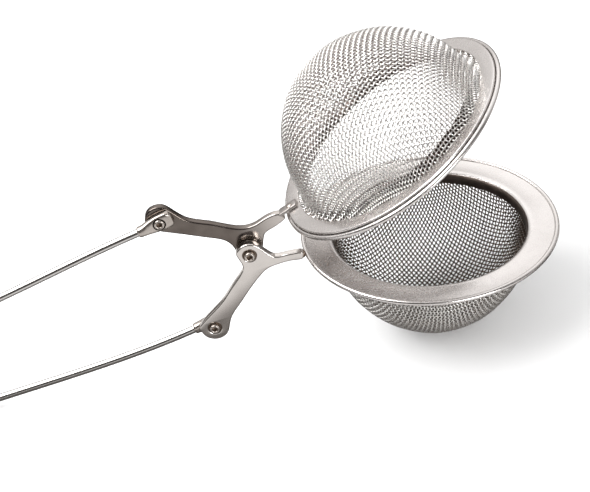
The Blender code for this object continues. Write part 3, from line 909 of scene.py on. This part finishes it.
def grey_ramp(tree, value, stops):
    """A ramp of (place, tone) stops, with a slight warm cast in the darker greys."""
    ramp = node(tree, "ShaderNodeValToRGB")
    tree.links.new(value, ramp.inputs["Fac"])
    elements = ramp.color_ramp.elements
    elements[0].position, elements[1].position = stops[0][0], stops[-1][0]
    for place, _ in stops[1:-1]:
        elements.new(place)
    for element, (_, tone) in zip(elements, stops):
        warm = 0.12 * max(0.0, 1.0 - tone)
        element.color = (tone, tone * (1 - 0.6 * warm), tone * (1 - warm), 1)
    return ramp.outputs["Color"]


def split_by_ray(tree, direct, mirrored, output):
    """Show one shader directly and another in the steel's reflections."""
    choose = node(tree, "ShaderNodeMixShader")
    path = node(tree, "ShaderNodeLightPath")
    tree.links.new(path.outputs["Is Glossy Ray"], choose.inputs["Fac"])
    tree.links.new(direct, choose.inputs[1])
    tree.links.new(mirrored, choose.inputs[2])
    tree.links.new(choose.outputs["Shader"], tree.nodes[output].inputs["Surface"])


def position(tree, kind):
    place = node(tree, "ShaderNodeTexCoord")
    split = node(tree, "ShaderNodeSeparateXYZ")
    tree.links.new(place.outputs[kind], split.inputs["Vector"])
    return split


def stage():
    """A pale floor. Polished metal sees it bright only in two strips beside the infuser: in
    reflections the floor is a painted glow, with a painted shadow right under the infuser.
    """
    mesh = bpy.data.meshes.new("floor")
    size = 3.0
    mesh.from_pydata([(-size, -size, 0), (size, -size, 0), (size, size, 0), (-size, size, 0)],
                     [], [(0, 1, 2, 3)])
    material = plain("pale_floor", (0.93, 0.93, 0.93), 0.9)
    tree = material.node_tree
    across = node(tree, "ShaderNodeMath", operation="ABSOLUTE")
    tree.links.new(position(tree, "Object").outputs["Y"], across.inputs[0])
    # Painted shadow and glow: in reflections the floor is an emission, dark right under the
    # infuser, bright in two strips beside it and dim further out.
    mirrored = node(tree, "ShaderNodeEmission", Strength=1.0)
    shade = grey_ramp(tree, across.outputs["Value"],
                      ((0.0, 0.10), (0.025, 0.2), (0.045, 0.9), (0.1, 0.9), (0.2, 0.12)))
    tree.links.new(shade, mirrored.inputs["Color"])
    split_by_ray(tree, tree.nodes["Principled BSDF"].outputs["BSDF"],
                 mirrored.outputs["Emission"], "Material Output")
    mesh.materials.append(material)
    floor = bpy.data.objects.new("floor", mesh)
    bpy.context.scene.collection.objects.link(floor)


def studio():
    """A white studio. Polished metal sees it as a real studio is: bright overhead, dim at the
    horizon and dark on the camera's side."""
    world = bpy.data.worlds.new("studio")
    bpy.context.scene.world = world
    world.use_nodes = True
    tree = world.node_tree
    open_sky = tree.nodes["Background"]
    open_sky.inputs["Color"].default_value = (1.0, 1.0, 1.0, 1)
    open_sky.inputs["Strength"].default_value = 1.0
    direction = position(tree, "Generated")
    front = grey_ramp(tree, direction.outputs["Z"],
                      ((0.0, 0.05), (0.3, 0.08), (0.62, 0.14), (0.86, 0.3), (0.93, 0.95),
                       (1.0, 1.05)))
    back = grey_ramp(tree, direction.outputs["Z"],
                     ((0.0, 0.08), (0.09, 0.16), (0.22, 0.62), (0.45, 0.76), (0.75, 1.0),
                      (1.0, 1.15)))
    share = remap(tree, direction.outputs["Y"], (-0.2, 0.3), interpolation_type="SMOOTHSTEP")
    seen = node(tree, "ShaderNodeBackground", Strength=1.0)
    tree.links.new(mix(tree, share, front, back), seen.inputs["Color"])
    split_by_ray(tree, open_sky.outputs["Background"], seen.outputs["Background"], "World Output")
    bpy.context.scene.view_settings.view_transform = "Standard"


def area_light(name, place, target, size, power):
    light = bpy.data.lights.new(name, "AREA")
    light.shape = "RECTANGLE"
    light.size, light.size_y = size
    light.energy = power
    item = bpy.data.objects.new(name, light)
    bpy.context.scene.collection.objects.link(item)
    item.location = place
    item.rotation_euler = (Vector(target) - Vector(place)).to_track_quat("-Z", "Y").to_euler()


def lights():
    area_light("key", (-0.4, 0.0, 0.7), (0.02, 0, 0.03), (0.8, 0.6), 7.5)
    area_light("front", (0.5, -0.75, 0.13), (0.04, 0, 0.015), (0.5, 0.2), 2.8)
    area_light("back", (0.1, 0.7, 0.6), (0.02, 0, 0.03), (0.8, 0.4), 0.35)


def camera():
    """A close view from above the front."""
    data = bpy.data.cameras.new("camera")
    data.sensor_width = 36.0
    data.lens = 121.7
    data.clip_start = 0.01
    item = bpy.data.objects.new("camera", data)
    bpy.context.scene.collection.objects.link(item)
    right = Vector((0.97904, -0.04098, -0.19950))
    up = Vector((0.18679, 0.57115, 0.79931))
    back = right.cross(up)
    turn = Matrix((right, up, back)).transposed().to_4x4()
    item.matrix_world = Matrix.Translation((0.06305, -0.4062, 0.309586)) @ turn
    bpy.context.scene.camera = item


def build():
    for side in (LOWER, UPPER):
        woven_bowl(side)
        rim_face(side)
        rim_back(side)
        lever(side)
        ferrule(side)
    foot()
    weld()
    washer()
    handle_wire()
    rivet("main_tubular_rivet", Vector((0, 0, 0)), -LEVER_SHEET, LEVER_GAP + LEVER_SHEET,
          0.98 * MM, 0.95 * MM, "lower_half", "main_rivet")
    rivet("lower_handle_tubular_rivet", eye_place(LOWER), -LEVER_SHEET,
          ferrule_span(LOWER)[0] + 1.9 * MM, 0.95 * MM, 0.8 * MM, "lower_half",
          "lower_handle_rivet")
    rivet("upper_handle_tubular_rivet", eye_place(UPPER), ferrule_span(UPPER)[1] - 1.93 * MM,
          LEVER_GAP + LEVER_SHEET, 1.0 * MM, 0.4 * MM, "upper_half", "upper_handle_rivet",
          shank=1.3 * MM)
    stage()
    studio()
    lights()
    camera()


build()
